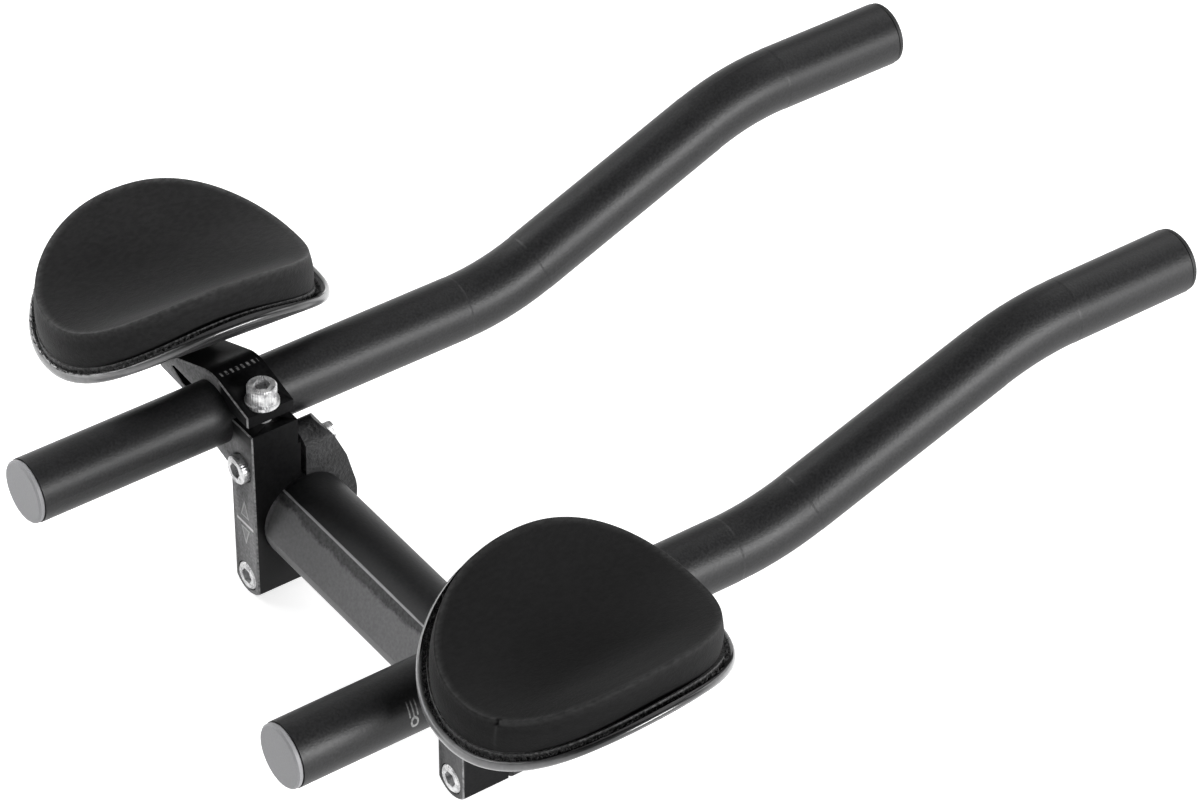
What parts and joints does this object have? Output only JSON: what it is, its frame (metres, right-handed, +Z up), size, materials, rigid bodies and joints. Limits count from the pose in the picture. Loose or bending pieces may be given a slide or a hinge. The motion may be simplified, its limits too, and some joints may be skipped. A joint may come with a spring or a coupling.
{
  "type": "aero handlebar",
  "caption": "Clip-on style aero handlebar: S-bend extension bars in slit clamps on a short crossbar, with a padded dished forearm cup on an arm at each side.",
  "frame": {"origin": "middle of the crossbar, on its axis", "axes": "+X to the rider's right along the crossbar, +Y forward the way the extension bars point, +Z up"},
  "size_m": [0.3039, 0.3503, 0.1177],
  "materials": {
    "bar_black": "bead-blasted, black anodised, satin",
    "plug_grey": "moulded, fine grain",
    "plug_black": "moulded, fine grain",
    "crossbar_grey": "dark grey anodised, satin",
    "clamp_black": "black anodised, lightly brushed",
    "forging_black": "rough forging, black coated",
    "bolt_steel": "zinc plated",
    "washer_steel": "zinc plated",
    "screw_steel": "zinc plated",
    "riser_black": "moulded",
    "cup_black": "moulded, polished rim",
    "loop_black": "hook-and-loop pile",
    "pad_black": "fine knit over foam"
  },
  "bodies": {
    "root": {"extension_bar_left": "bar_black", "extension_bar_right": "bar_black", "rear_plug_left": "plug_grey", "rear_plug_right": "plug_grey", "front_plug_left": "plug_black", "front_plug_right": "plug_black", "crossbar": "crossbar_grey", "clamp_body_left": "clamp_black", "clamp_body_right": "clamp_black", "clamp_front_left": "forging_black", "clamp_front_right": "forging_black", "clamp_bolt_upper_left": "bolt_steel", "clamp_bolt_upper_right": "bolt_steel", "clamp_bolt_lower_left": "bolt_steel", "clamp_bolt_lower_right": "bolt_steel", "pinch_bolt_left": "bolt_steel", "pinch_bolt_right": "bolt_steel", "pinch_washer_left": "washer_steel", "pinch_washer_right": "washer_steel", "riser_left": "riser_black", "riser_right": "riser_black", "arm_cup_left": "cup_black", "arm_cup_right": "cup_black", "cup_screw_front_left": "screw_steel", "cup_screw_front_right": "screw_steel", "cup_screw_rear_left": "screw_steel", "cup_screw_rear_right": "screw_steel", "hook_loop_left": "loop_black", "hook_loop_right": "loop_black", "pad_left": "pad_black", "pad_right": "pad_black"}
  },
  "joints": []
}
